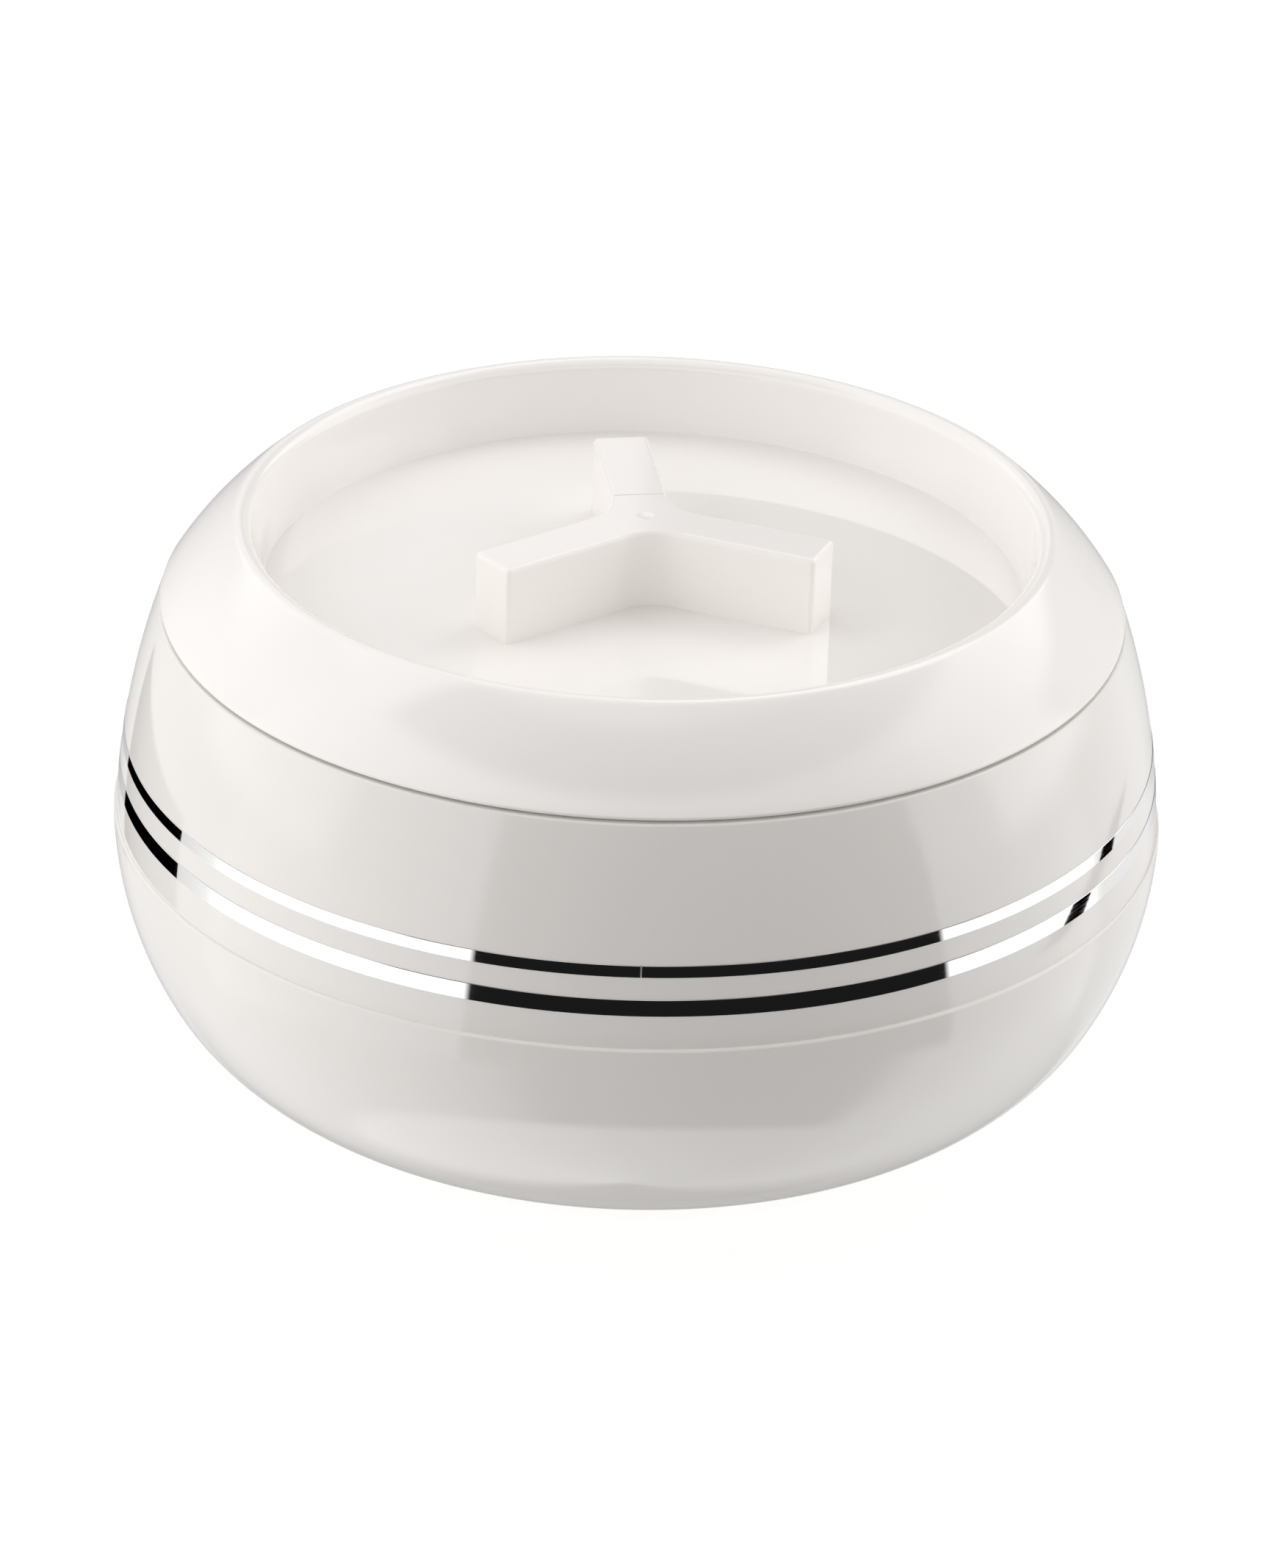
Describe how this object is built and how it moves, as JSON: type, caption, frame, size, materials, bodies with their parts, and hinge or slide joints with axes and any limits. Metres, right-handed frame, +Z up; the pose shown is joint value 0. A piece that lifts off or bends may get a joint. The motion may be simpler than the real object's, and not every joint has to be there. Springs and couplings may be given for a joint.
{
  "type": "insulated casserole",
  "caption": "Round foam-insulated serving casserole with a steel liner, two mirror trim bands and a lift-off lid with a sunk three-arm handle.",
  "frame": {"origin": "centre of the foot ring, on the surface that the casserole stands on", "axes": "+Z up along the round body's axis; -Y is the side the picture faces; one handle arm points about 8 degrees past +Y towards -X"},
  "size_m": [0.2584, 0.2584, 0.1454],
  "materials": {
    "body_ivory": "glossy warm white moulded plastic",
    "lid_ivory": "glossy warm white moulded plastic",
    "base_ivory": "satin moulded plastic",
    "inner_white": "smooth food-safe white plastic",
    "trim_mirror": "mirror-finish metal strip",
    "liner_steel": "drawn stainless steel, satin with turning marks",
    "screw_steel": "zinc-plated steel",
    "seal_silicone": "translucent grey silicone",
    "pu_foam": null
  },
  "bodies": {
    "base": {"lower_bowl": "body_ivory", "upper_belt": "body_ivory", "base_cover": "base_ivory", "base_fill_plug": "base_ivory", "upper_trim_band": "trim_mirror", "lower_trim_band": "trim_mirror", "steel_liner": "liner_steel", "liner_gasket": "seal_silicone", "body_insulation": "pu_foam"},
    "lid": {"lid_shell": "lid_ivory", "lid_handle": "lid_ivory", "handle_screws": "screw_steel", "lid_inner_cover": "inner_white", "lid_seal": "seal_silicone", "lid_insulation": "pu_foam", "lid_fill_plug": "inner_white"}
  },
  "joints": [
    {"name": "lid_lift", "type": "slide", "parent": "base", "child": "lid", "axis": [0, 0, 1], "range_m": [0, 0.12]}
  ]
}
